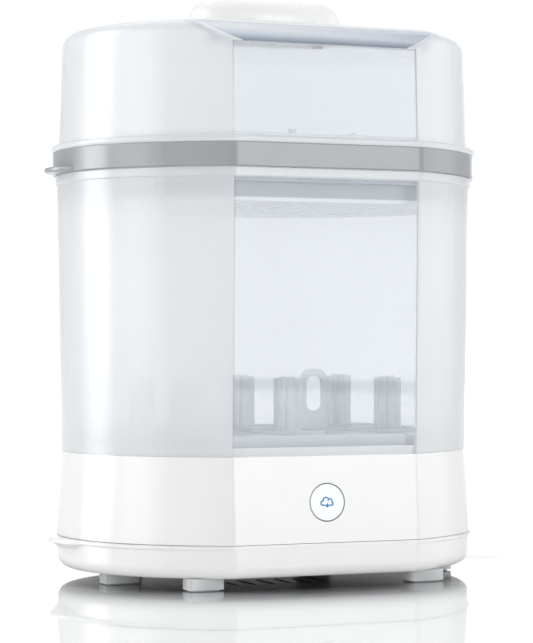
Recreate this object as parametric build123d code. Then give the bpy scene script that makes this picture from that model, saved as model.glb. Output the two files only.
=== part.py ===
from build123d import *
import math
import os

os.makedirs("parts", exist_ok=True)

# Electric steam steriliser for baby bottles.  Millimetres, +Z up, front faces -Y.
# Origin: middle of the footprint box, on the surface the feet stand on.

# ---------------------------------------------------------------- driving dimensions
A = 132.0            # half width of the grey band
B = 112.1            # half depth of the uncut oval
C = 99.9             # distance from the oval's centre to the flat front
YC = -6.1            # oval centre in the part's frame
R_END = 101.0        # radius of the oval's left and right arcs
R_CREASE = 9.0       # radius between flat front and side at the band

Z_FLOOR = 7.1        # underside of the base, above the feet
Z_LIP = 26.4         # joint between the two base shells
Z_BASE = 77.0        # top of the base, container sits here
Z_RIM0 = 238.0       # container lip, lower face
Z_RIM1 = 243.7       # container lip, top
Z_BAND0 = 243.9
Z_BAND1 = 257.7
Z_BEAD0 = 257.9
Z_BEAD1 = 261.6
Z_WIN = 316.2        # top of the lid window
Z_TOP = 330.0        # flat top of the lid
Z_GRIP = 353.6       # top of the grip

D_TUB = -3.2         # outline offsets from the band
D_LIP_BEAD = -0.4
D_BASE0, D_BASE1 = -2.6, -5.4
D_CON0, D_CON1 = -5.5, -2.6
D_RIM = -1.6
D_BEAD = 1.0
D_LID0, D_LID1 = -3.75, -6.05
WALL = 2.2
WALL_BASE = 2.6

X_EAR = 140.6        # half width over the ears
X_EAR_BASE = 137.0    # half width over the base's ears
W_WIN = 58.4         # half width of the clear front panels

Z_BUTTON = 50.0
R_BUTTON = 10.95
BUTTON_GAP = 0.35
TRAVEL = 1.2

R_PLATE = 62.0       # heating plate flange
R_PLATE_HOLE = 56.0

R_SIDE = ((A - R_END) ** 2 + B**2 - R_END**2) / (2 * (B - R_END))
CX = A - R_END
CY = R_SIDE - B


# ---------------------------------------------------------------- outline helpers
def _arc(cx, cy, r, a0, a1, z):
    am = (a0 + a1) / 2
    pts = [Vector(cx + r * math.cos(a), YC + cy + r * math.sin(a), z) for a in (a0, am, a1)]
    return Edge.make_three_point_arc(*pts)


def outline(d, z, rc=None, dy=0.0):
    """Wire of the cut oval, offset outward by d, at height z."""
    r = max((R_CREASE if rc is None else rc) + d, 1.2)
    yf = -(C + d) + r
    xf = math.sqrt((R_SIDE + d - r) ** 2 - (CY - yf) ** 2)
    ac = math.atan2(yf - CY, xf)
    aj = math.atan2(-CY, CX)
    yl = YC - (C + d)
    es = [
        Edge.make_line(Vector(-xf, yl, z), Vector(xf, yl, z)),
        _arc(xf, yf, r, -math.pi / 2, ac, z),
        _arc(0, CY, R_SIDE + d, ac, aj, z),
        _arc(CX, 0, R_END + d, aj, -aj, z),
        _arc(0, -CY, R_SIDE + d, -aj, math.pi + aj, z),
        _arc(-CX, 0, R_END + d, math.pi + aj, math.pi - aj, z),
        _arc(0, CY, R_SIDE + d, -math.pi - aj, -math.pi - ac, z),
        _arc(-xf, yf, r, -math.pi - ac, -math.pi / 2, z),
    ]
    w = Wire(es)
    return w.moved(Location((0, dy, 0))) if dy else w


def full_oval(d, z):
    """Wire of the uncut oval."""
    aj = math.atan2(-CY, CX)
    return Wire([
        _arc(CX, 0, R_END + d, aj, -aj, z),
        _arc(0, -CY, R_SIDE + d, -aj, math.pi + aj, z),
        _arc(-CX, 0, R_END + d, math.pi + aj, math.pi - aj, z),
        _arc(0, CY, R_SIDE + d, -math.pi - aj, aj, z),
    ])


def solid(d0, z0, d1, z1, rc=None):
    return Solid.make_loft([outline(d0, z0, rc), outline(d1, z1, rc)], ruled=True)


def ring(do0, di0, z0, do1, di1, z1, rc=None):
    e = 0.5
    s = (di1 - di0) / (z1 - z0)
    return solid(do0, z0, do1, z1, rc) - solid(di0 - s * e, z0 - e, di1 + s * e, z1 + e, rc)


def at(x, y, z):
    """Location with y measured from the oval's centre."""
    return Location((x, YC + y, z))


def cyl(x, y, z0, z1, r, r1=None):
    if r1 is None:
        return at(x, y, (z0 + z1) / 2) * Cylinder(r, z1 - z0)
    return at(x, y, (z0 + z1) / 2) * Cone(r, r1, z1 - z0)


def box(x0, x1, y0, y1, z0, z1):
    return at((x0 + x1) / 2, (y0 + y1) / 2, (z0 + z1) / 2) * Box(x1 - x0, y1 - y0, z1 - z0)


def prism_x(points, half=200.0):
    """Solid of a (y, z) polygon, y from the oval's centre, run along X."""
    w = Wire.make_polygon([Vector(-half, YC + y, z) for y, z in points], close=True)
    return Solid.extrude(Face(w), Vector(2 * half, 0, 0))


def slot(x, y, z0, z1, length, width, ang=0.0):
    s = Sketch() + SlotOverall(length, width, rotation=ang)
    return at(x, y, z0) * extrude(s, z1 - z0)


def lerp(z, z0, v0, z1, v1):
    return v0 + (v1 - v0) * (z - z0) / (z1 - z0)


PARTS = {}


def keep(name, *shapes):
    sol = []
    for s in shapes:
        sol += list(s.solids())
    PARTS[name] = sol


# ================================================================ base
def d_base(z):
    return lerp(z, Z_LIP, D_BASE0, Z_BASE, D_BASE1)


FEET = [(-70.4, -79.0), (70.4, -79.0), (-103.0, -25.0), (103.0, -25.0), (-66.0, 76.0), (66.0, 76.0)]
SCREWS = [(-97.0, -49.0), (97.0, -49.0), (-88.0, 50.0), (88.0, 50.0)]

# --- bottom shell: tub with a rounded lower edge, lip bead and side ears
RC_TUB = 14.2
tub = solid(D_TUB - 0.3, Z_FLOOR, D_TUB, Z_LIP, RC_TUB)
tub = fillet(tub.edges().filter_by(lambda e: abs(e.center().Z - Z_FLOOR) < 0.01), 6.5)
hollow = solid(D_TUB - WALL_BASE - 0.3, Z_FLOOR + 2.5, D_TUB - WALL_BASE, Z_LIP + 1, RC_TUB)
hollow = fillet(hollow.edges().filter_by(lambda e: abs(e.center().Z - Z_FLOOR - 2.5) < 0.01), 4.2)
# bead fades out towards the flat front
bead = solid(D_LIP_BEAD, 23.6, D_LIP_BEAD, Z_LIP) & Solid.make_loft(
    [outline(D_LIP_BEAD, 23.6, None, 2.75), outline(D_LIP_BEAD, Z_LIP, None, 2.75)], ruled=True)
bead = fillet(bead.edges().filter_by(lambda e: abs(e.center().Z - 23.6) < 0.01 or abs(e.center().Z - Z_LIP) < 0.01), 1.0)
ears = None
for sx in (-1, 1):
    r = 36.0
    xc = sx * (X_EAR_BASE - r)
    tab = cyl(xc, 0, 23.0, Z_LIP, r)
    tab = fillet(tab.edges().filter_by(GeomType.CIRCLE), 1.2)
    fair = cyl(xc, 0, 20.6, 23.6, r - 4.6, r - 1.4)
    e = (tab + fair) & box(*sorted((sx * 112.0, sx * 150.0)), -60, 60, 10, 30)
    ears = e if ears is None else ears + e
bottom = (tub + bead + ears) - hollow
for x, y in FEET:
    bottom += cyl(x, y, Z_FLOOR + 0.5, Z_FLOOR + 5.0, 5.2) - cyl(x, y, Z_FLOOR - 1, Z_FLOOR + 6, 3.0)
    bottom -= cyl(x, y, Z_FLOOR - 1, Z_FLOOR + 6, 3.0)
for x, y in SCREWS:
    bottom += cyl(x, y, Z_FLOOR + 0.5, 15.0, 5.0)
    bottom -= cyl(x, y, Z_FLOOR - 1, 16.0, 1.7)
    bottom -= cyl(x, y, Z_FLOOR - 1, 12.0, 3.4)
# stiffening ribs, floor vents, recessed blank rating panel, rear cord inlet
for y in (-45.0, 45.0):
    bottom += box(-60, 60, y - 1, y + 1, Z_FLOOR + 2, 15.0)
for i in range(7):
    bottom -= slot(-36 + 12 * i, 0, Z_FLOOR - 1, Z_FLOOR + 4, 30, 3.2, 90)
bottom -= box(-30, 30, 52, 74, Z_FLOOR - 1, Z_FLOOR + 0.5)
GLAND_Z = 17.8
y_rear = B + D_TUB
gl = Plane(origin=(0, YC + y_rear, GLAND_Z), x_dir=(1, 0, 0), z_dir=(0, 1, 0))
R_GLAND, R_GLAND_FLANGE, R_CORD = 4.8, 6.0, 3.3
bottom -= gl.location * Cylinder(R_GLAND, 30)
bottom -= gl.location * Location((0, 0, 10.0 - 1.4)) * Cylinder(R_GLAND_FLANGE + 0.15, 20)
keep("base_bottom_shell", bottom)

# --- feet and their soft pads
feet = []
pads = []
for x, y in FEET:
    f = box(x - 10.9, x + 10.9, y - 6.4, y + 6.4, 0.8, Z_FLOOR)
    f = fillet(f.edges().filter_by(Axis.Z), 2.2)
    f = f - box(x - 8.6, x + 8.6, y - 4.3, y + 4.3, 0, 2.2)
    f = f + cyl(x, y, Z_FLOOR - 0.5, Z_FLOOR + 5.6, 3.0)
    feet.append(f)
    p = box(x - 8.6, x + 8.6, y - 4.3, y + 4.3, 0.0, 2.2)
    p = fillet(p.edges().filter_by(Axis.Z), 1.5)
    pads.append(p)
keep("feet", *feet)
keep("foot_pads", *pads)

# --- top shell: outer skin, container ledge, basin wall and basin floor
Z_BASIN = 68.5
Z_BASIN_U = 66.0
Z_SPIGOT = 82.0
D_SP0, D_SP1 = -8.6, -11.1
top = ring(d_base(Z_LIP + 0.35), d_base(Z_LIP + 0.35) - WALL_BASE, Z_LIP + 0.35, D_BASE1, D_BASE1 - WALL_BASE, Z_BASE)
top += ring(D_BASE1 - 0.5, D_SP1, Z_BASE - 2.6, D_BASE1 - 0.5, D_SP1, Z_BASE - 0.0)
top += ring(D_SP0, D_SP1, Z_BASIN, D_SP0, D_SP1, Z_SPIGOT)
top += ring(d_base(28) - 2.0, -8.0, Z_LIP + 0.35, d_base(28) - 2.0, -8.0, 29.0)
top += ring(-6.3, -8.0, 24.0, -6.3, -8.0, 29.0)
# screw posts, tied to the skin by ribs, carry the basin floor
skin_in = solid(d_base(32.0) - 1.2, 32.0, d_base(Z_BASIN_U) - 1.2, Z_BASIN_U)
for x, y in SCREWS:
    rib = box(*sorted((x, x + math.copysign(30, x))), y - 1.1, y + 1.1, 32.0, Z_BASIN_U) & skin_in
    top += cyl(x, y, 15.1, Z_BASIN_U, 4.4) + rib
    top -= cyl(x, y, 15, 36, 1.5)
# button opening and guide sleeve, square to the leaning front
tilt = math.atan((D_BASE0 - D_BASE1) / (Z_BASE - Z_LIP))
y_face = -(C + d_base(Z_BUTTON))
bp = Plane(origin=(0, YC + y_face, Z_BUTTON), x_dir=(1, 0, 0), z_dir=(0, -math.cos(tilt), math.sin(tilt)))


def on_button(z0, z1, r, r1=None, x=0.0, y=0.0):
    body = Cylinder(r, z1 - z0) if r1 is None else Cone(r, r1, z1 - z0)
    return bp.location * Location((x, y, (z0 + z1) / 2)) * body


def bbox_on(x0, x1, y0, y1, z0, z1):
    return bp.location * Location(((x0 + x1) / 2, (y0 + y1) / 2, (z0 + z1) / 2)) * Box(x1 - x0, y1 - y0, z1 - z0)


top += on_button(-9.0, -1.5, R_BUTTON + BUTTON_GAP + 1.9)
top -= on_button(-12.0, 3.0, R_BUTTON + BUTTON_GAP)
BOSSES = [(-40, 5), (40, 5), (-40, -20), (40, -20)]
for x, y in BOSSES:
    top += on_button(-17.0, -1.5, 3.4, None, x, y)
    top -= on_button(-17.5, -7.0, 1.25, None, x, y)
# bosses for the plate clamp
CLAMP = [(70 * math.cos(math.radians(a)), 70 * math.sin(math.radians(a))) for a in (30, 150, 270)]
CLAMP[2] = (0.0, -68.0)
keep("base_top_shell", top)
basin = solid(D_SP0, Z_BASIN_U, D_SP0, Z_BASIN) - cyl(0, 0, 60, 80, R_PLATE_HOLE)
for x, y in CLAMP:
    basin += cyl(x, y, 64.0, Z_BASIN_U + 0.5, 4.0)
    basin -= cyl(x, y, 63.0, 67.5, 1.5)
keep("basin_floor", basin)

# --- screws from below
scr = []
for x, y in SCREWS:
    scr.append(cyl(x, y, 9.9, 12.0, 3.0) + cyl(x, y, 11.9, 32.0, 1.5) - box(x - 1.7, x + 1.7, y - 0.4, y + 0.4, 9.0, 11.0)
               - box(x - 0.4, x + 0.4, y - 1.7, y + 1.7, 9.0, 11.0))
keep("base_screws", *scr)

# --- heating group under the basin
dish = Solid.revolve(Face(Wire.make_polygon([
    Vector(0, 0, 62.2), Vector(46, 0, 62.2), Vector(50, 0, 64.0), Vector(R_PLATE, 0, 64.0), Vector(R_PLATE, 0, 65.2),
    Vector(49.4, 0, 65.2), Vector(45.4, 0, 63.4), Vector(0, 0, 63.4)], close=True)), 360, Axis.Z)
keep("heating_plate", dish.moved(Location((0, YC, 0))))
seal = cyl(0, 0, 65.2, Z_BASIN_U, R_PLATE - 0.4) - cyl(0, 0, 60, 70, R_PLATE_HOLE + 0.6)
keep("plate_seal", seal)
spreader = cyl(0, 0, 59.4, 62.2, 44.0)
keep("heat_spreader", spreader)
r_el = 35.0
arc = Edge.make_three_point_arc(
    Vector(r_el * math.cos(math.radians(70)), YC + r_el * math.sin(math.radians(70)), 56.0),
    Vector(0, YC - r_el, 56.0),
    Vector(-r_el * math.cos(math.radians(70)), YC + r_el * math.sin(math.radians(70)), 56.0))
w = Wire([arc])
el = sweep(Plane(origin=w.position_at(0), z_dir=w.tangent_at(0)) * Circle(3.4), path=w)
keep("heating_element", el)
clamp = cyl(0, 0, 61.6, 64.0, R_PLATE) - cyl(0, 0, 60, 66, 50.5)
for x, y in CLAMP:
    n = math.hypot(x, y)
    clamp += cyl(x, y, 61.6, 64.0, 5.0)
    clamp += at(x * 60 / n, y * 60 / n, 62.8) * Location((0, 0, 0), (0, 0, math.degrees(math.atan2(y, x)))) * Box(20, 9, 2.4)
clamp -= cyl(0, 0, 60, 66, 50.5)
for x, y in CLAMP:
    clamp -= cyl(x, y, 60, 66, 1.7)
keep("plate_clamp", clamp)
cs = []
for x, y in CLAMP:
    cs.append(cyl(x, y, 59.8, 61.6, 3.0) + cyl(x, y, 61.5, 67.4, 1.5))
keep("clamp_screws", *cs)
thermo = cyl(0, 0, 52.0, 59.4, 8.5) + box(-7, -4, -1, 1, 46.0, 52.5) + box(4, 7, -1, 1, 46.0, 52.5)
keep("thermostat", thermo)
fuse = at(0, -18, 57.2) * Location((0, 0, 0), (0, 90, 0)) * Cylinder(2.2, 12)
keep("thermal_fuse", fuse)

# --- electronics behind the front
board = bbox_on(-47, 47, -33, 10.5, -18.6, -17.0)
for x, y in BOSSES:
    board -= on_button(-20, -16, 1.6, None, x, y)
keep("control_board", board)
bs = []
for x, y in BOSSES:
    bs.append(on_button(-20.4, -18.6, 2.8, None, x, y) + on_button(-18.7, -7.2, 1.25, None, x, y))
keep("board_screws", *bs)
keep("tact_switch", bbox_on(-6, 6, -6, 6, -17.0, -13.0) + on_button(-13.1, -11.5, 1.8))
led = on_button(-17.0, -13.4, 1.6, None, 8.6, 0) + (bp.location * Location((8.6, 0, -13.4)) * Sphere(1.6))
led = led & bbox_on(0, 20, -5, 5, -17.0, -10)
keep("status_led", led)
keep("relay", fillet(bbox_on(-36, -17, -31, -16, -34.0, -18.6).edges().filter_by(lambda e: True), 0.6))
keep("power_module", fillet(bbox_on(-12, 14, -31, -13, -34.5, -18.6).edges(), 0.8))
cap = on_button(-32.0, -18.6, 5.0, None, 26.0, -25.0)
keep("capacitor", fillet(cap.edges().filter_by(GeomType.CIRCLE), 0.5))
bz = on_button(-27.0, -18.6, 6.0, None, 29.0, -6.0) - on_button(-28.0, -25.0, 1.2, None, 29.0, -6.0)
keep("buzzer", bz)
tb = box(7, 35, 74, 90, Z_FLOOR + 2.5, 24.0)
for i in range(3):
    tb -= cyl(12 + 9 * i, 79, 18.0, 25.0, 2.4)
    tb -= box(9 + 9 * i, 15 + 9 * i, 88, 91, 13, 20)
    tb -= box(9 + 9 * i, 15 + 9 * i, 73, 76, 13, 20)
keep("terminal_block", tb)

# --- internal leads, terminal block to board and element
leads = []


def lead(pts, radii, r=1.3):
    path = FilletPolyline(*[Vector(p[0], YC + p[1], p[2]) for p in pts], radius=radii)
    ww = path.wire() if hasattr(path, "wire") else Wire(path.edges())
    return sweep(Plane(origin=ww.position_at(0), z_dir=ww.tangent_at(0)) * Circle(r), path=ww)


yb = y_face + 34.6   # rear of the board's tall parts
leads.append(lead([(12, 75.9, 16.5), (12, 62, 16.5), (-52, 58, 21), (-52, -50, 21), (-42, -62, 24), (-42, -76.0, 24)],
                  [7, 9, 9, 6]))
leads.append(lead([(21, 75.9, 16.5), (21, 60, 16.5), (52, 50, 21), (52, -50, 21), (43, -62, 24), (43, -76.3, 24)],
                  [7, 9, 9, 6]))
leads.append(lead([(30, 75.9, 16.5), (30, 66, 16.5), (30, 46, 30), (13, 36, 44), (12.0, 34.8, 52.5)], [6, 9, 8]))
keep("internal_leads", *leads)

# --- cord gland at the rear
gland = gl.location * Location((0, 0, 0.6)) * Cylinder(R_GLAND_FLANGE, 4.0)
gland = fillet(gland.edges().filter_by(lambda e: e.geom_type == GeomType.CIRCLE and e.center().Y > YC + y_rear + 2.0), 1.2)
gland += gl.location * Location((0, 0, -3.4)) * Cylinder(R_GLAND - 0.02, 4.2)
gland += gl.location * Location((0, 0, -6.9)) * Cylinder(5.8, 3.0)
gland -= gl.location * Cylinder(R_CORD, 60)
keep("cord_gland", gland)

# ================================================================ button group
cap_ = on_button(-6.5, 0.0, R_BUTTON)
cap_ = fillet(cap_.edges().filter_by(lambda e: e.geom_type == GeomType.CIRCLE and e.center().Y < YC + y_face + 0.5), 0.6)
cap_ -= on_button(-7.0, -2.2, R_BUTTON - 1.6)
cap_ += on_button(-6.5, -1.8, 2.4)
# generic icon inlay: cloud outline over a droplet
cloud = Sketch()
for cx, cy, cr in ((-2.7, -0.4, 1.75), (-0.9, 1.35, 2.05), (1.75, 0.75, 1.75), (2.75, -0.85, 1.35)):
    cloud += Location((cx, cy)) * Circle(cr)
cloud += Location((0.0, -1.2)) * Rectangle(5.4, 1.86)
inner_c = Sketch()
for cx, cy, cr in ((-2.7, -0.4, 0.85), (-0.9, 1.35, 1.15), (1.75, 0.75, 0.85), (2.75, -0.85, 0.45)):
    inner_c += Location((cx, cy)) * Circle(cr)
inner_c += Location((0.0, -0.34)) * Rectangle(4.9, 1.88)
icon2d = (cloud - inner_c) - Location((0, -2.6)) * Rectangle(2.6, 1.9)
drop = Location((0, -2.05)) * Circle(0.95) + Sketch() + Face(Wire.make_polygon(
    [Vector(-0.82, -1.6, 0), Vector(0.82, -1.6, 0), Vector(0, -0.2, 0)], close=True))
icon2d = icon2d + drop
icon = bp.location * Location((0, 0, -0.5)) * extrude(icon2d, 0.52)
cap_ -= bp.location * Location((0, 0, -0.5)) * extrude(icon2d, 2.0)
keep("button_cap", cap_)
keep("button_icon", icon)
pad = on_button(-9.0, -6.5, 8.4) + on_button(-10.1, -8.9, 2.6)
keep("button_key_pad", pad)

# ================================================================ container
def d_con(z):
    return lerp(z, Z_BASE, D_CON0, Z_RIM0, D_CON1)


con = ring(d_con(Z_BASE + 0.3), d_con(Z_BASE + 0.3) - WALL, Z_BASE + 0.3, D_CON1, D_CON1 - WALL, Z_RIM0 + 0.5)
lip = solid(D_RIM, Z_RIM0, D_RIM, Z_RIM1)
lip = fillet(lip.edges().filter_by(lambda e: abs(e.center().Z - Z_RIM0) < 0.01 or abs(e.center().Z - Z_RIM1) < 0.01), 0.9)
lip -= solid(D_CON1 - WALL, Z_RIM0 - 1, D_CON1 - WALL, Z_RIM1 + 1)
con += lip
win_zone = box(-W_WIN, W_WIN, -C - 5, -C + 12, Z_BASE - 1, Z_RIM0 - 0.2)
con_win = con & win_zone
con -= win_zone
keep("container_shell", con)
keep("container_window", con_win)

# ================================================================ bottle rack (stands in the basin)
D_RACK = -15.0
Z_RACK = 86.0
rack = solid(D_RACK, Z_RACK, D_RACK, Z_RACK + 2.4)
STATIONS = [(x, y) for y in (-36.0, 38.0) for x in (-67.0, 0.0, 67.0)]
for x, y in STATIONS:
    rack -= cyl(x, y, Z_RACK - 1, Z_RACK + 4, 27.0)
keep("rack_skirt", ring(D_RACK, D_RACK - 2.2, Z_RACK - 7.5, D_RACK, D_RACK - 2.2, Z_RACK))
pegs = []
for x, y in STATIONS:
    rack += cyl(x, y, Z_RACK, Z_RACK + 4.0, 9.0) - cyl(x, y, Z_RACK - 1, Z_RACK + 5, 2.4)
    rack += cyl(x, y, Z_RACK, Z_RACK + 4.0, 24.0) - cyl(x, y, Z_RACK - 1, Z_RACK + 6, 22.2)
    for a in (30, 90, 150):
        rack += at(x, y, Z_RACK + 1.2) * Location((0, 0, 0), (0, 0, a)) * (Box(55.0, 2.6, 2.4) - Box(12.0, 4, 4))
    peg = cyl(x, y, Z_RACK + 4.0, Z_RACK + 36.0, 6.5, 4.6)
    for a in (45, 135):
        peg += at(x, y, Z_RACK + 19.5) * Location((0, 0, 0), (0, 0, a)) * Box(17.0, 1.6, 31.0)
    peg -= cyl(x, y, Z_RACK, Z_RACK + 38.0, 2.4)
    pegs.append(peg)
keep("rack_pegs", *pegs)
LEGS = [(-100, 0), (100, 0), (-33.5, -62), (33.5, -62), (-33.5, 64), (33.5, 64)]
keep("rack_legs", *[cyl(x, y, Z_BASIN + 0.1, Z_RACK, 3.6, 4.4) for x, y in LEGS])
# two lift loops between the stations
loops = []
for sx in (-1, 1):
    x = sx * 33.5
    loop = box(x - 9, x + 9, -0.8, 2.8, Z_RACK + 2.4, Z_RACK + 40.0)
    loop = fillet(loop.edges().filter_by(lambda e: abs(e.center().Z - Z_RACK - 40.0) < 0.01 and abs(e.center().X - x) > 8.5), 7.5)
    hole = box(x - 5.5, x + 5.5, -3 + 1, 3 + 1, Z_RACK + 14.0, Z_RACK + 35.5)
    hole = fillet(hole.edges().filter_by(Axis.Y), 4.5)
    loops.append(loop - hole)
keep("rack_loops", *loops)
keep("bottle_rack", rack)

# ================================================================ upper tray
Z_TRAY = 224.9
Z_SHELF = 235.8
D_BASKET = -15.0
tray = ring(D_BASKET, D_BASKET - 2.0, Z_TRAY, D_BASKET + 0.2, D_BASKET - 1.8, Z_SHELF + 2.0)
tray += solid(D_BASKET, Z_TRAY, D_BASKET, Z_TRAY + 2.2)
tray += ring(-6.6, D_BASKET - 1.9, Z_SHELF, -6.6, D_BASKET - 1.9, Z_SHELF + 2.0)
tray += ring(-6.6, -8.4, Z_SHELF, -6.6, -8.4, 264.0)
tray += ring(-3.1, -8.0, 255.6, -3.1, -8.0, Z_BAND1)
tray += ring(-3.1, -4.9, 246.0, -3.1, -4.9, Z_BAND1)
# finger notch in the shelf, front and rear
for sy in (-1, 1):
    yy = -(C - 11.0) if sy < 0 else (B - 11.0)
    tray += box(-13.4, 13.4, *sorted((yy, yy - sy * 1.6)), Z_SHELF - 0.5, Z_SHELF + 6.0)
# drain slots
for i in range(-8, 9):
    x = i * 12.0
    h = 0.80 * math.sqrt(max(0.0, 1 - (x / (A - 19)) ** 2)) * (C - 17)
    for sy in (-1, 1):
        if h > 14:
            tray -= slot(x, sy * (h / 2 + 3.0), Z_TRAY - 1, Z_TRAY + 3, h - 4, 4.0, 90)
keep("tray", tray)

band = solid(0, Z_BAND0, 0, Z_BAND1)
band = fillet(band.edges().filter_by(lambda e: abs(e.center().Z - Z_BAND0) < 0.01 or abs(e.center().Z - Z_BAND1) < 0.01), 0.5)
for sx in (-1, 1):
    r = 26.0
    t = cyl(sx * (X_EAR - r), 0, Z_BAND0, Z_BAND0 + 3.2, r)
    t = fillet(t.edges().filter_by(GeomType.CIRCLE), 1.3)
    t &= box(*sorted((sx * 126.0, sx * 150.0)), -40, 40, 240, 250)
    band += t
band -= solid(-3.1, Z_BAND0 - 1, -3.1, Z_BAND1 + 1)
keep("tray_band", band)

# --- stand for teats and rings, lies on the tray's floor
Z_STAND = Z_TRAY + 2.2
stand = solid(-18.2, Z_STAND, -18.2, Z_STAND + 2.0)
PEGS = [(0, -44), (0, 44), (-46, -30), (46, -30), (-46, 36), (46, 36), (-88, 2), (88, 2), (0, 0)]
for i in range(-8, 9):
    x = i * 12.0 + 6.0
    h = 0.78 * math.sqrt(max(0.0, 1 - (x / (A - 24)) ** 2)) * (C - 21)
    if h > 16 and abs(x) < 100:
        for sy in (-1, 1):
            stand -= slot(x, sy * (h / 2 + 4.0), Z_STAND - 1, Z_STAND + 3, h - 6, 5.0, 90)
for x, y in PEGS:
    peg = cyl(x, y, Z_STAND, Z_STAND + 3.5, 9.0) + cyl(x, y, Z_STAND + 3.0, Z_STAND + 44.0, 3.6, 2.4)
    for a in (0, 90):
        peg += at(x, y, Z_STAND + 20.0) * Location((0, 0, 0), (0, 0, a + 45)) * Box(12.0, 1.5, 36.0)
    stand += peg
keep("teat_stand", stand)

# ================================================================ lid
def y_lid(z):
    return -(C + lerp(z, Z_BEAD1, D_LID0, Z_TOP, D_LID1))


Y_BROW = -80.3
zb = Z_WIN + 0.3
slope = (Y_BROW - y_lid(zb)) / (Z_TOP - zb)
ang = math.atan(1 / slope)
e = 8.0


def front_cut(t_f, t_b):
    """Everything in front of the lid's front, moved inward by t_f (window) and t_b (brow)."""
    db = t_b / math.sin(ang)
    # brow line: y = y_lid(zb) + db + (z - zb) * slope ; window line: y = y_lid(z) + t_f
    m = (D_LID1 - D_LID0) / (Z_TOP - Z_BEAD1)
    zi = zb + (t_f - db) / (slope + m)
    yi = y_lid(zi) + t_f
    return prism_x([(-220, 240), (y_lid(240) + t_f, 240), (yi, zi),
                    (y_lid(zb) + db + (Z_TOP + e - zb) * slope, Z_TOP + e), (-220, Z_TOP + e)])


def oval_lid(d, ztop, rf):
    z0 = Z_BEAD0 - 0.0
    dd0 = lerp(z0, Z_BEAD1, D_LID0, Z_TOP, D_LID1) + d
    dd1 = lerp(ztop, Z_BEAD1, D_LID0, Z_TOP, D_LID1) + d
    s = Solid.make_loft([full_oval(dd0, z0), full_oval(dd1, ztop)], ruled=True)
    return fillet(s.edges().filter_by(lambda q: abs(q.center().Z - ztop) < 0.01), rf)


outer = oval_lid(0.0, Z_TOP, 8.5) - front_cut(0.0, 0.0)
cre = outer.edges().filter_by(lambda q: abs(abs(q.center().X) - 58) < 3 and 270 < q.center().Z < 305 and q.length > 30)
outer = fillet(cre, 4.0)
bead_l = solid(D_BEAD, Z_BEAD0, D_BEAD, Z_BEAD1)
bead_l = fillet(bead_l.edges().filter_by(lambda q: abs(q.center().Z - Z_BEAD0) < 0.01 or abs(q.center().Z - Z_BEAD1) < 0.01), 1.5)
inner_v = oval_lid(-WALL, Z_TOP - WALL, 6.5)
inner_v = inner_v - front_cut(WALL, WALL)
inner_low = solid(D_LID0 - WALL + 0.15, Z_BEAD0 - 2, D_LID0 - WALL + 0.05, Z_BEAD1 + 0.5)
shell = (outer + bead_l) - inner_v - inner_low
win_box = box(-W_WIN, W_WIN, -C - 6, -C + 14, Z_BEAD1 + 0.3, Z_WIN)
lid_window = shell & win_box
shell = shell - win_box
# the brow sits in the opening between the cheeks, 0.7 below their edges
inner_side = Solid.make_loft([full_oval(lerp(300, Z_BEAD1, D_LID0, Z_TOP, D_LID1) - WALL, 300),
                              full_oval(D_LID1 - WALL, Z_TOP)], ruled=True)
brow_zone = (front_cut(8.0, WALL + 0.9) & inner_side) & box(-120, 120, -130, -60, Z_WIN, Z_TOP - 1.6)
brow = brow_zone - front_cut(0.0, 0.7)
shell = shell - (front_cut(8.0, WALL + 0.9) & inner_side & box(-120, 120, -130, -60, Z_WIN, Z_TOP - 1.6))
brow = brow - lid_window
# steam vents and screw holes under the grip
for x in (-24, -8, 8, 24):
    shell -= slot(x, 0, Z_TOP - 4, Z_TOP + 1, 14, 3.0, 90)
GRIP_SCREWS = [(-36.0, 0.0), (36.0, 0.0)]
for x, y in GRIP_SCREWS:
    shell -= cyl(x, y, Z_TOP - 5, Z_TOP + 1, 1.7)
keep("lid_shell", shell)
keep("lid_window", lid_window)
keep("lid_brow", brow)


# --- grip: domed oval with a finger groove at its foot
def small_oval(a, b, r, z):
    R = ((a - r) ** 2 + b**2 - r**2) / (2 * (b - r))
    cx, cy = a - r, R - b
    aj = math.atan2(-cy, cx)
    return Wire([
        _arc(cx, 0, r, aj, -aj, z), _arc(0, -cy, R, -aj, math.pi + aj, z),
        _arc(-cx, 0, r, math.pi + aj, math.pi - aj, z), _arc(0, cy, R, -math.pi - aj, aj, z)])


def grip_block(a, b, r, z0, z1, k=0.0):
    return Solid.make_loft([small_oval(a, b, r, z0), small_oval(a + k, b + k, r + k, z1)], ruled=True)


neck = grip_block(45.0, 20.0, 16.5, Z_TOP, Z_TOP + 8.0)
head = grip_block(49.6, 24.4, 20.6, Z_TOP + 7.0, Z_GRIP, -0.6)
head = fillet(head.edges().filter_by(lambda q: abs(q.center().Z - Z_GRIP) < 0.01), 13.0)
head = fillet(head.edges().filter_by(lambda q: abs(q.center().Z - Z_TOP - 7.0) < 0.01), 2.0)
grip = neck + head
void = grip_block(42.4, 17.4, 13.9, Z_TOP - 1, Z_GRIP - 3.0)
void = fillet(void.edges().filter_by(lambda q: abs(q.center().Z - Z_GRIP + 3.0) < 0.01), 9.0)
grip -= void
for x, y in GRIP_SCREWS:
    post = cyl(x, y, Z_TOP, Z_GRIP - 6.0, 4.2)
    grip += post
    grip -= cyl(x, y, Z_TOP - 1, Z_TOP + 14.0, 1.5)
for x in (-20, 0, 20):
    for sy in (-1, 1):
        grip -= box(x - 6, x + 6, *sorted((sy * 10.0, sy * 30.0)), Z_TOP - 1, Z_TOP + 2.6)
keep("lid_grip", grip)
gs = []
for x, y in GRIP_SCREWS:
    gs.append(cyl(x, y, Z_TOP - WALL - 2.0, Z_TOP - WALL, 3.2) + cyl(x, y, Z_TOP - WALL - 0.1, Z_TOP + 12.0, 1.5))
keep("grip_screws", *gs)

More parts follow.
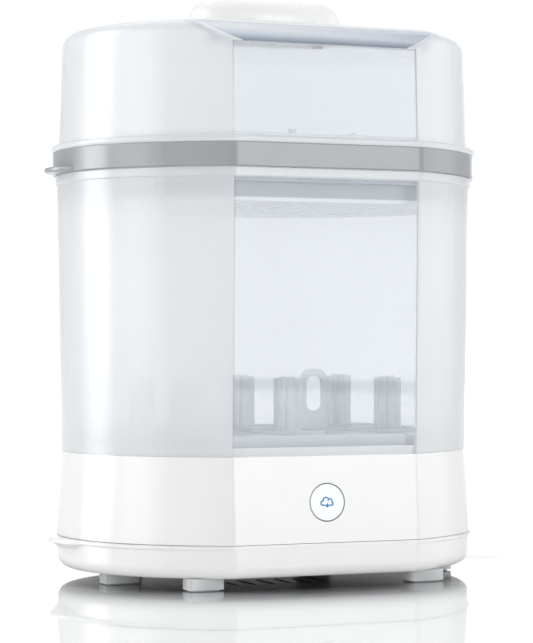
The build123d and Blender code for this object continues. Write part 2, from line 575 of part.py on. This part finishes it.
# ---------------------------------------------------------------- write
for name, sols in PARTS.items():
    shape = sols[0] if len(sols) == 1 else Compound(sols)
    shape.label = name
    export_step(shape, f"parts/{name}.step")
    bb = shape.bounding_box()
    print(f"{name:20s} n={len(sols)} vol={sum(s.volume for s in sols):10.1f} valid={all(s.is_valid for s in sols)} "
          f"min=({bb.min.X:.1f},{bb.min.Y:.1f},{bb.min.Z:.1f}) max=({bb.max.X:.1f},{bb.max.Y:.1f},{bb.max.Z:.1f})")
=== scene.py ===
import bpy, math
import numpy as np
from mathutils import Vector, Matrix

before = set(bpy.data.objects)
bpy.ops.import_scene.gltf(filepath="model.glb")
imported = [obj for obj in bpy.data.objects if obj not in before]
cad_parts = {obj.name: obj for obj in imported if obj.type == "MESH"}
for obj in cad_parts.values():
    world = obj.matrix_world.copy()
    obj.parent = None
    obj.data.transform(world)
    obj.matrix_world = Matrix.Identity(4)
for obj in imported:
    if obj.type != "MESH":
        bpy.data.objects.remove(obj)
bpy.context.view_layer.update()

SC = bpy.context.scene
YC = -0.0061             # centre of the oval plan, metres

# ------------------------------------------------------------------ camera
cam_data = bpy.data.cameras.new("camera")
cam = bpy.data.objects.new("camera", cam_data)
SC.collection.objects.link(cam)
cam_data.sensor_width = 36.0
cam_data.lens = 129.39
TH = math.radians(22.32)
D = 1.4307
loc = Vector((-D * math.sin(TH), YC - D * math.cos(TH), 0.1459))
yaw = TH + math.radians(0.0514)
pitch = math.radians(0.385)
look = Vector((math.sin(yaw) * math.cos(pitch), math.cos(yaw) * math.cos(pitch), math.sin(pitch)))
cam.location = loc
cam.rotation_euler = look.to_track_quat("-Z", "Y").to_euler()
cam_data.clip_start = 0.05
cam_data.clip_end = 60
SC.camera = cam
SC.view_settings.view_transform = "Standard"


# ------------------------------------------------------------------ node helpers
class Mat:
    def __init__(self, name):
        self.m = bpy.data.materials.new(name)
        self.m.use_nodes = True
        self.t = self.m.node_tree
        self.t.nodes.clear()
        self.out = self.n("ShaderNodeOutputMaterial")
        self.co = self.n("ShaderNodeTexCoord").outputs["Object"]

    def n(self, kind, **props):
        node = self.t.nodes.new(kind)
        for k, v in props.items():
            setattr(node, k, v)
        return node

    def link(self, a, b):
        self.t.links.new(a, b)

    def set(self, node, **vals):
        for k, v in vals.items():
            key = k.replace("_", " ")
            sock = node.inputs[key] if key in node.inputs else node.inputs[k]
            if hasattr(v, "is_output") or isinstance(v, bpy.types.NodeSocket):
                self.link(v, sock)
            else:
                sock.default_value = v
        return node

    def noise(self, scale, detail=2.0, rough=0.5, co=None, dist=0.0):
        n = self.n("ShaderNodeTexNoise")
        n.inputs["Scale"].default_value = scale
        n.inputs["Detail"].default_value = detail
        n.inputs["Roughness"].default_value = rough
        n.inputs["Distortion"].default_value = dist
        self.link(co or self.co, n.inputs["Vector"])
        return n.outputs["Fac"]

    def ramp(self, fac, stops):
        r = self.n("ShaderNodeValToRGB")
        el = r.color_ramp.elements
        while len(el) < len(stops):
            el.new(0.5)
        for e, (p, c) in zip(el, stops):
            e.position = p
            e.color = (*c, 1) if len(c) == 3 else c
        self.link(fac, r.inputs["Fac"])
        return r.outputs["Color"]

    def maprange(self, v, a, b, c, d):
        r = self.n("ShaderNodeMapRange")
        self.link(v, r.inputs["Value"])
        for k, x in (("From Min", a), ("From Max", b), ("To Min", c), ("To Max", d)):
            r.inputs[k].default_value = x
        return r.outputs["Result"]

    def math(self, op, a, b=None):
        r = self.n("ShaderNodeMath", operation=op)
        for i, v in enumerate((a, b)):
            if v is None:
                continue
            if isinstance(v, (int, float)):
                r.inputs[i].default_value = v
            else:
                self.link(v, r.inputs[i])
        return r.outputs[0]

    def bump(self, height, strength, dist=0.0002, normal=None):
        b = self.n("ShaderNodeBump")
        b.inputs["Strength"].default_value = strength
        b.inputs["Distance"].default_value = dist
        self.link(height, b.inputs["Height"])
        if normal is not None:
            self.link(normal, b.inputs["Normal"])
        return b.outputs["Normal"]

    def mix(self, fac, a, b):
        r = self.n("ShaderNodeMixShader")
        if isinstance(fac, (int, float)):
            r.inputs[0].default_value = fac
        else:
            self.link(fac, r.inputs[0])
        self.link(a, r.inputs[1])
        self.link(b, r.inputs[2])
        return r.outputs[0]

    def done(self, shader):
        self.link(shader, self.out.inputs["Surface"])
        return self.m


def tone(c, k):
    return tuple(max(0.0, min(1.0, x * k)) for x in c)


def plastic(name, col, rough=0.35, var=0.02, grain=2600.0, bump=0.06, coat=0.0, sss=0.0, metal=0.0, ior=1.49, mottling=38.0):
    m = Mat(name)
    p = m.n("ShaderNodeBsdfPrincipled")
    big = m.noise(mottling, 3.0, 0.55)
    c = m.ramp(big, [(0.30, tone(col, 1 - var)), (0.70, tone(col, 1 + var))])
    m.set(p, Base_Color=c)
    fine = m.noise(grain, 2.0, 0.5)
    r = m.maprange(m.noise(mottling * 3.1, 2.0), 0.3, 0.7, rough * 0.9, min(1.0, rough * 1.12))
    m.set(p, Roughness=r, IOR=ior, Metallic=metal)
    if coat:
        m.set(p, Coat_Weight=coat, Coat_Roughness=rough * 0.4)
    if sss:
        p.inputs["Subsurface Weight"].default_value = sss
        p.inputs["Subsurface Radius"].default_value = (0.9, 1.0, 1.05)
        p.inputs["Subsurface Scale"].default_value = 0.004
    m.set(p, Normal=m.bump(fine, bump, 0.0001))
    return m.done(p.outputs[0])


def one_sheet(m, shader):
    """A wall is one scattering sheet: light leaving the plastic from behind a face passes on."""
    geo = m.n("ShaderNodeNewGeometry")
    tr = m.n("ShaderNodeBsdfTransparent")
    return m.mix(geo.outputs["Backfacing"], shader, tr.outputs[0])


def frosted(name, col, clear=0.16, rough=0.34, trans=0.5, grain=3200.0, tint=(0.97, 0.985, 1.0)):
    """Milky moulded polypropylene: part diffuse, part light carried through, satin skin."""
    m = Mat(name)
    big = m.noise(24.0, 3.0, 0.6)
    c = m.ramp(big, [(0.30, tone(col, 0.988)), (0.70, tone(col, 1.006))])
    nrm = m.bump(m.noise(grain, 3.0, 0.6), 0.10, 0.0001)
    d = m.n("ShaderNodeBsdfDiffuse"); m.set(d, Color=c, Normal=nrm)
    t = m.n("ShaderNodeBsdfTranslucent"); m.set(t, Color=c, Normal=nrm)
    body = m.mix(trans, d.outputs[0], t.outputs[0])
    tr = m.n("ShaderNodeBsdfTransparent"); m.set(tr, Color=(*tint, 1))
    lw = m.n("ShaderNodeLayerWeight"); lw.inputs["Blend"].default_value = 0.35
    f = m.maprange(lw.outputs["Facing"], 0.0, 1.0, clear, 0.0)
    body = m.mix(f, body, tr.outputs[0])
    g = m.n("ShaderNodeBsdfGlossy"); m.set(g, Color=(0.95, 0.96, 0.97, 1), Roughness=rough, Normal=nrm)
    fr = m.n("ShaderNodeFresnel"); fr.inputs["IOR"].default_value = 1.49
    return m.done(one_sheet(m, m.mix(m.math("MINIMUM", fr.outputs[0], 0.34), body, g.outputs[0])))


def clear_panel(name, tint=(0.845, 0.875, 0.90), haze=0.05, rough=0.03):
    """Polished clear panel: see-through with a faint haze and a glossy skin."""
    m = Mat(name)
    tr = m.n("ShaderNodeBsdfTransparent")
    c = m.ramp(m.noise(9.0, 2.0), [(0.3, tone(tint, 0.994)), (0.7, tone(tint, 1.004))])
    m.set(tr, Color=c)
    tl = m.n("ShaderNodeBsdfTranslucent"); m.set(tl, Color=(0.93, 0.95, 0.97, 1))
    body = m.mix(m.maprange(m.noise(160.0, 4.0, 0.7), 0.3, 0.8, haze * 0.6, haze * 1.4), tr.outputs[0], tl.outputs[0])
    nrm = m.bump(m.noise(14.0, 2.0, 0.5), 0.05, 0.002)
    g = m.n("ShaderNodeBsdfGlossy"); m.set(g, Color=(1, 1, 1, 1), Roughness=rough, Normal=nrm)
    fr = m.n("ShaderNodeFresnel"); fr.inputs["IOR"].default_value = 1.45
    return m.done(one_sheet(m, m.mix(fr.outputs[0], body, g.outputs[0])))


def metal(name, col, rough=0.3, rings=False, scale=900.0, aniso=0.0):
    m = Mat(name)
    p = m.n("ShaderNodeBsdfPrincipled")
    fine = m.noise(scale, 3.0, 0.6)
    c = m.ramp(fine, [(0.3, tone(col, 0.9)), (0.7, tone(col, 1.06))])
    m.set(p, Base_Color=c, Metallic=1.0, Roughness=m.maprange(fine, 0.3, 0.7, rough * 0.8, rough * 1.25))
    if rings:
        sep = m.n("ShaderNodeSeparateXYZ"); m.link(m.co, sep.inputs[0])
        y = m.math("SUBTRACT", sep.outputs[1], YC)
        rr = m.math("SQRT", m.math("ADD", m.math("MULTIPLY", sep.outputs[0], sep.outputs[0]), m.math("MULTIPLY", y, y)))
        w = m.math("SINE", m.math("MULTIPLY", rr, 5200.0))
        m.set(p, Normal=m.bump(w, 0.12, 0.0001))
    else:
        m.set(p, Normal=m.bump(fine, 0.08, 0.0001))
    return m.done(p.outputs[0])


WHITE = plastic("white_shell", (0.888, 0.884, 0.873), 0.24, 0.008, bump=0.012, sss=0.0)
GRIP = plastic("grip_shell", (0.935, 0.93, 0.915), 0.28, 0.008, bump=0.015)
FROST = frosted("frosted_shell", (0.955, 0.966, 0.974), clear=0.15, trans=0.48, rough=0.27, tint=(0.93, 0.945, 0.958))
CLEAR = clear_panel("clear_panel", tint=(0.845, 0.866, 0.886))
CLEAR_LID = clear_panel("clear_lid_panel", tint=(0.80, 0.824, 0.85))


def brow_mat():
    """Polished blue-grey panel with painted shade and painted reflection: darker along its foot, its two slanting sides
    and towards its right end, less so along its top edge.
    """
    m = Mat("brow_panel")
    sep = m.n("ShaderNodeSeparateXYZ"); m.link(m.co, sep.inputs[0])
    x, z = sep.outputs[0], sep.outputs[2]
    # painted shade and painted reflection: masks that darken the panel near its slanting sides, along its foot and
    # towards its right end
    half = m.math("ADD", m.math("MULTIPLY", m.math("SUBTRACT", z, 0.3162), 1.967), 0.0584)
    side = m.maprange(m.math("SUBTRACT", m.math("ABSOLUTE", x, 0.0), half), -0.0042, -0.0006, 0.0, 0.85)
    foot = m.maprange(z, 0.3166, 0.3252, 1.0, 0.0)
    foot = m.math("MULTIPLY", foot, m.maprange(x, -0.075, 0.060, 0.85, 1.0))
    painted_reflection_drift = m.maprange(m.math("ADD", x, m.math("MULTIPLY", m.noise(46.0, 2.0, 0.5), 0.03)), -0.030, 0.085, 0.0, 0.56)
    painted_shade_reflection = m.math("MAXIMUM", m.math("MAXIMUM", side, foot), painted_reflection_drift)
    # the painted darkening fades out near the top edge, leaving a light strip
    painted_shade_reflection = m.math("MULTIPLY", painted_shade_reflection, m.maprange(z, 0.3258, 0.3276, 1.0, 0.25))
    c = m.ramp(painted_shade_reflection, [(0.0, (0.89, 0.905, 0.925)), (0.4, (0.60, 0.66, 0.745)), (0.72, (0.27, 0.325, 0.42)), (1.0, (0.06, 0.09, 0.15))])
    d = m.n("ShaderNodeBsdfDiffuse"); m.set(d, Color=c)
    t = m.n("ShaderNodeBsdfTranslucent"); m.set(t, Color=c)
    body = m.mix(0.4, d.outputs[0], t.outputs[0])
    tr = m.n("ShaderNodeBsdfTransparent"); m.set(tr, Color=(0.92, 0.94, 0.96, 1))
    body = m.mix(0.16, body, tr.outputs[0])
    g = m.n("ShaderNodeBsdfGlossy"); m.set(g, Color=(1, 1, 1, 1), Roughness=0.09)
    fr = m.n("ShaderNodeFresnel"); fr.inputs["IOR"].default_value = 1.49
    return m.done(one_sheet(m, m.mix(fr.outputs[0], body, g.outputs[0])))


BROW = brow_mat()
BAND = plastic("band_grey", (0.34, 0.355, 0.365), 0.24, 0.006, bump=0.012)


def tray_mat(name, wall, level):
    """Natural polypropylene with painted shade: between two heights the basket's standing wall is painted much greyer
    than its thin slotted floor.
    """
    m = Mat(name)
    sep = m.n("ShaderNodeSeparateXYZ"); m.link(m.co, sep.inputs[0])
    z = sep.outputs[2]
    # painted shade: the wall between z 0.2276 and 0.2378 takes the grey wall colour, while the floor and the top keep
    # the pale level colour
    flat = m.math("MAXIMUM", m.maprange(z, 0.2266, 0.2276, 1.0, 0.0), m.maprange(z, 0.2378, 0.2392, 0.0, 1.0))
    v = m.math("ADD", m.math("MULTIPLY", flat, 0.94), m.math("MULTIPLY", m.noise(30.0, 3.0, 0.6), 0.06))
    c = m.ramp(v, [(0.0, wall), (1.0, level)])
    nrm = m.bump(m.noise(2600.0, 3.0, 0.6), 0.08, 0.0001)
    d = m.n("ShaderNodeBsdfDiffuse"); m.set(d, Color=c, Normal=nrm)
    t = m.n("ShaderNodeBsdfTranslucent"); m.set(t, Color=c, Normal=nrm)
    body = m.mix(m.maprange(flat, 0.0, 1.0, 0.35, 0.30), d.outputs[0], t.outputs[0])
    tr = m.n("ShaderNodeBsdfTransparent"); m.set(tr, Color=(0.93, 0.95, 0.965, 1))
    body = m.mix(0.06, body, tr.outputs[0])
    g = m.n("ShaderNodeBsdfGlossy"); m.set(g, Color=(1, 1, 1, 1), Roughness=0.3, Normal=nrm)
    fr = m.n("ShaderNodeFresnel"); fr.inputs["IOR"].default_value = 1.49
    return m.done(one_sheet(m, m.mix(m.math("MINIMUM", fr.outputs[0], 0.3), body, g.outputs[0])))


TRAYM = tray_mat("tray_plastic", (0.43, 0.46, 0.50), (0.96, 0.968, 0.975))
STANDM = frosted("stand_plastic", (0.955, 0.96, 0.965), clear=0.12, rough=0.3, trans=0.58)
RACKM = frosted("rack_plastic", (0.90, 0.915, 0.935), clear=0.05, rough=0.25, trans=0.35)
FOOT = frosted("foot_plastic", (0.92, 0.935, 0.94), clear=0.08, rough=0.35, trans=0.45)
PADM = plastic("pad_rubber", (0.50, 0.51, 0.52), 0.75, 0.05, bump=0.3)
SCREW = metal("screw_steel", (0.62, 0.62, 0.64), 0.32)
PLATE = metal("plate_steel", (0.72, 0.72, 0.73), 0.24, rings=True)
SIL = plastic("silicone", (0.86, 0.86, 0.86), 0.6, 0.02, bump=0.1)
ALU = metal("spreader_aluminium", (0.76, 0.77, 0.79), 0.45)
ELEM = metal("element_steel", (0.42, 0.40, 0.38), 0.35, scale=500)
ZINC = metal("zinc_sheet", (0.66, 0.67, 0.68), 0.4, scale=260)
THERM = plastic("thermostat_body", (0.20, 0.17, 0.15), 0.5, 0.06, bump=0.2)
FUSE = metal("fuse_can", (0.78, 0.78, 0.76), 0.3)
BLACK = plastic("black_plastic", (0.025, 0.025, 0.026), 0.45, 0.1, bump=0.15)
RELAY = plastic("relay_case", (0.06, 0.16, 0.42), 0.35, 0.04)
CAPM = metal("capacitor_can", (0.22, 0.24, 0.30), 0.4)
TERM = plastic("terminal_nylon", (0.84, 0.83, 0.78), 0.5, 0.02)
LEDM = plastic("led_lens", (0.82, 0.90, 0.97), 0.1, 0.01, bump=0.0)
GLANDM = plastic("gland_nylon", (0.86, 0.86, 0.86), 0.45, 0.02, bump=0.12)
LEAD = plastic("lead_sleeve", (0.60, 0.07, 0.05), 0.45, 0.04)


def board_mat():
    m = Mat("board_mask")
    p = m.n("ShaderNodeBsdfPrincipled")
    b = m.n("ShaderNodeTexBrick")
    m.link(m.co, b.inputs["Vector"])
    b.inputs["Scale"].default_value = 260.0
    b.inputs["Mortar Size"].default_value = 0.04
    b.inputs["Color1"].default_value = (0.03, 0.20, 0.09, 1)
    b.inputs["Color2"].default_value = (0.04, 0.25, 0.11, 1)
    b.inputs["Mortar"].default_value = (0.10, 0.36, 0.18, 1)
    m.set(p, Base_Color=b.outputs["Color"], Roughness=0.35)
    return m.done(p.outputs[0])


BOARD = board_mat()


def button_mat():
    m = Mat("button_pearl")
    p = m.n("ShaderNodeBsdfPrincipled")
    v = m.n("ShaderNodeTexVoronoi"); v.inputs["Scale"].default_value = 5200.0
    m.link(m.co, v.inputs["Vector"])
    c = m.ramp(v.outputs["Distance"], [(0.0, (0.62, 0.645, 0.665)), (1.0, (0.50, 0.525, 0.55))])
    m.set(p, Base_Color=c, Metallic=0.45, Roughness=0.38, Coat_Weight=0.25, Coat_Roughness=0.12)
    return m.done(p.outputs[0])


BUTTON = button_mat()
ICON = plastic("icon_blue", (0.012, 0.20, 0.50), 0.35, 0.03, bump=0.0)

ASSIGN = {
    "base_bottom_shell": WHITE, "base_top_shell": WHITE, "feet": FOOT, "foot_pads": PADM, "base_screws": SCREW,
    "heating_plate": PLATE, "plate_seal": SIL, "heat_spreader": ALU, "heating_element": ELEM, "plate_clamp": ZINC,
    "clamp_screws": SCREW, "thermostat": THERM, "thermal_fuse": FUSE, "control_board": BOARD, "board_screws": SCREW,
    "tact_switch": BLACK, "status_led": LEDM, "relay": RELAY, "power_module": BLACK, "capacitor": CAPM, "buzzer": BLACK,
    "terminal_block": TERM, "internal_leads": LEAD, "cord_gland": GLANDM, "button_cap": BUTTON, "button_icon": ICON,
    "button_key_pad": SIL, "container_shell": FROST, "container_window": CLEAR, "bottle_rack": RACKM, "rack_skirt": RACKM, "rack_pegs": RACKM, "rack_legs": RACKM, "rack_loops": RACKM, "basin_floor": WHITE, "tray": TRAYM,
    "tray_band": BAND, "teat_stand": STANDM, "lid_shell": FROST, "lid_window": CLEAR_LID, "lid_brow": BROW, "lid_grip": GRIP,
    "grip_screws": SCREW,
}
for node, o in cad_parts.items():
    mat = ASSIGN[node]
    if not o.data.materials:
        o.data.materials.append(mat)
    for s in o.material_slots:
        s.link = "OBJECT"
        s.material = mat

# ------------------------------------------------------------------ stage: pale sweep, soft studio light
def sweep():
    """Pale floor that curves up into a backdrop far behind."""
    pts = [(-6.0, 0.0)]
    y0, r = 3.2, 2.2
    pts.append((y0, 0.0))
    for i in range(1, 17):
        a = math.pi / 2 * i / 16
        pts.append((y0 + r * math.sin(a), r - r * math.cos(a)))
    pts.append((y0 + r, 7.0))
    c, s = math.cos(-TH), math.sin(-TH)
    vs, fs = [], []
    for y, z in pts:
        for x in (-7.0, 7.0):
            vs.append((c * x - s * y, s * x + c * y, z))
    for i in range(len(pts) - 1):
        fs.append((2 * i, 2 * i + 1, 2 * i + 3, 2 * i + 2))
    me = bpy.data.meshes.new("stage_sweep")
    me.from_pydata(vs, [], fs)
    for p in me.polygons:
        p.use_smooth = True
    o = bpy.data.objects.new("stage_sweep", me)
    SC.collection.objects.link(o)
    m = Mat("sweep_paper")
    p = m.n("ShaderNodeBsdfPrincipled")
    paper = m.ramp(m.noise(3.0, 2.0), [(0.3, (0.915, 0.92, 0.925)), (0.7, (0.93, 0.934, 0.938))])
    # painted contact shadow: the paper colour is darkened where ambient occlusion finds the object close by
    ao = m.n("ShaderNodeAmbientOcclusion", samples=32)
    ao.inputs["Distance"].default_value = 0.126
    m.link(paper, ao.inputs["Color"])
    painted_contact_shadow = m.ramp(ao.outputs["AO"], [(0.0, (0.010, 0.010, 0.011)), (0.40, (0.026, 0.027, 0.029)), (0.58, (0.105, 0.108, 0.112)),
                                     (0.75, (0.50, 0.505, 0.51)), (0.90, (0.90, 0.903, 0.906)), (0.98, (1.0, 1.0, 1.0))])
    mul = m.n("ShaderNodeMixRGB", blend_type="MULTIPLY"); mul.inputs[0].default_value = 1.0
    m.link(paper, mul.inputs[1]); m.link(painted_contact_shadow, mul.inputs[2])
    # bounced light meets the plain paper; the soft contact shade is for what is seen
    lp = m.n("ShaderNodeLightPath")
    pick = m.n("ShaderNodeMixRGB"); m.link(lp.outputs["Is Diffuse Ray"], pick.inputs[0])
    m.link(mul.outputs[0], pick.inputs[1]); m.link(paper, pick.inputs[2])
    c = pick.outputs[0]
    # painted light: the paper glows, from none at 0.5 m behind the object up to strength 0.55 at 3.2 m, falling to an
    # eighth beyond 1.9 m to either side
    sep = m.n("ShaderNodeSeparateXYZ"); m.link(m.co, sep.inputs[0])
    far = m.math("ADD", m.math("MULTIPLY", sep.outputs[0], math.sin(TH)), m.math("MULTIPLY", sep.outputs[1], math.cos(TH)))
    lat = m.math("SUBTRACT", m.math("MULTIPLY", sep.outputs[0], math.cos(TH)), m.math("MULTIPLY", sep.outputs[1], math.sin(TH)))
    m.set(p, Base_Color=c, Roughness=0.035, IOR=1.42, Emission_Color=(1, 1, 1, 1),
          Emission_Strength=m.math("MULTIPLY", m.maprange(far, 0.5, 3.2, 0.0, 0.55), m.maprange(m.math("ABSOLUTE", lat, 0.0), 1.05, 1.9, 1.0, 0.12)))
    me.materials.append(m.done(p.outputs[0]))
    return o


sweep()


def area(name, loc, target, size, power, size_y=None, col=(1, 1, 1), spread=180, gloss_only=False):
    d = bpy.data.lights.new(name, "AREA")
    d.energy = power
    d.color = col
    d.spread = math.radians(spread)
    if size_y:
        d.shape = "RECTANGLE"; d.size = size; d.size_y = size_y
    else:
        d.size = size
    o = bpy.data.objects.new(name, d)
    SC.collection.objects.link(o)
    o.location = loc
    o.rotation_euler = (Vector(target) - Vector(loc)).to_track_quat("-Z", "Y").to_euler()
    if gloss_only:
        o.visible_diffuse = False
        o.visible_transmission = False
    return o


area("key_left", (-1.50, 0.55, 0.55), (0, 0, 0.17), 0.60, 11.5, size_y=1.5)
area("gloss_left", (-1.46, 0.66, 0.30), (0, 0, 0.20), 0.72, 15.5, size_y=1.9, gloss_only=True)
area("gloss_left_2", (-1.56, -0.34, 0.30), (0, 0, 0.20), 0.80, 15, size_y=1.9, gloss_only=True)
area("fill_right", (0.80, -2.05, 0.55), (0, 0, 0.17), 0.8, 12.9, size_y=1.1)
area("right_soft", (1.75, -0.25, 0.60), (0, 0, 0.17), 0.9, 4.8, size_y=1.2)
area("top_soft", (0.0, 0.35, 1.7), (0, 0, 0.1), 1.6, 7.5, size_y=1.4)
area("back_soft", (0.8, 1.5, 0.8), (0, 0, 0.2), 1.4, 4.8, size_y=1.2)
area("fill_left", (-1.45, -1.55, 0.45), (0, 0, 0.17), 1.0, 4.0, size_y=1.2)

w = bpy.data.worlds.new("studio")
SC.world = w
w.use_nodes = True
bg = w.node_tree.nodes["Background"]
bg.inputs["Color"].default_value = (0.97, 0.985, 1.0, 1)
bg.inputs["Strength"].default_value = 0.56
